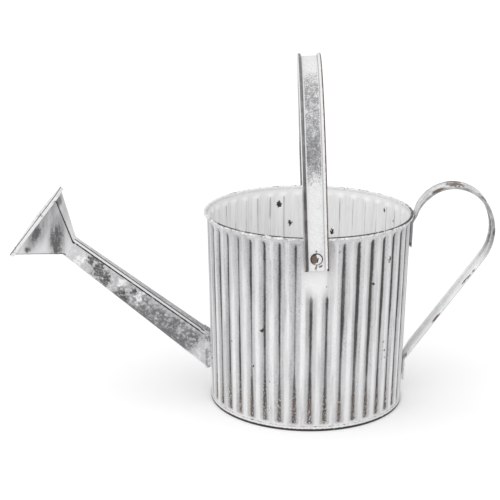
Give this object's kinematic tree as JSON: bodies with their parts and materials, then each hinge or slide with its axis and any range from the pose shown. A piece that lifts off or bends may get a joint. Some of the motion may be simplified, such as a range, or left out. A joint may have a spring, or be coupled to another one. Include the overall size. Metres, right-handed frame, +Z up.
{
  "type": "watering can",
  "caption": "Ribbed sheet-metal watering can with a wired rim, a straight tapered spout with a flat rose, a swinging bail over the mouth and a fixed loop handle at the back.",
  "frame": {"origin": "on the ground, at the centre of the ring that the can stands on", "axes": "+Z up, +X from the can's axis to the loop handle, so the spout points along -X, +Y to the far side in the picture"},
  "size_m": [0.4121, 0.1856, 0.3005],
  "materials": {
    "whitewashed_wall": "matt whitewash rubbed over zinc sheet, grey in the grooves",
    "whitewashed_base": "matt whitewash, worn",
    "weathered_spout": "matt whitewash worn to grey zinc in blotches",
    "weathered_collar": "matt whitewash, worn",
    "whitewashed_rose": "matt whitewash with grey brushed smudges",
    "whitewashed_rose_face": "matt whitewash, worn",
    "whitewashed_bail": "matt whitewash, rubbed grey along the edges",
    "whitewashed_handle": "matt whitewash, rubbed brown-grey on the outside",
    "rusty_rivet": "worn paint over rusty steel",
    "bare_steel": "dull bare steel"
  },
  "bodies": {
    "can": {"body_shell": "whitewashed_wall", "rim_wire": "bare_steel", "base_pan": "whitewashed_base", "spout_tube": "weathered_spout", "spout_collar": "weathered_collar", "rose_funnel": "whitewashed_rose", "rose_face": "whitewashed_rose_face", "handle_strap": "whitewashed_handle", "bail_rivet_front": "rusty_rivet", "bail_rivet_rear": "rusty_rivet", "bail_spacer_front": "bare_steel", "bail_spacer_rear": "bare_steel", "bail_burr_front": "bare_steel", "bail_burr_rear": "bare_steel", "handle_rivet_upper": "rusty_rivet", "handle_rivet_lower": "rusty_rivet", "handle_burr_upper": "bare_steel", "handle_burr_lower": "bare_steel"},
    "bail": {"bail_strap": "whitewashed_bail"}
  },
  "joints": [
    {"name": "bail_swing", "type": "hinge", "parent": "can", "child": "bail", "pos_m": [0.0048, 0, 0.1509], "axis": [0, 1, 0], "range_deg": [-103, 75]}
  ]
}
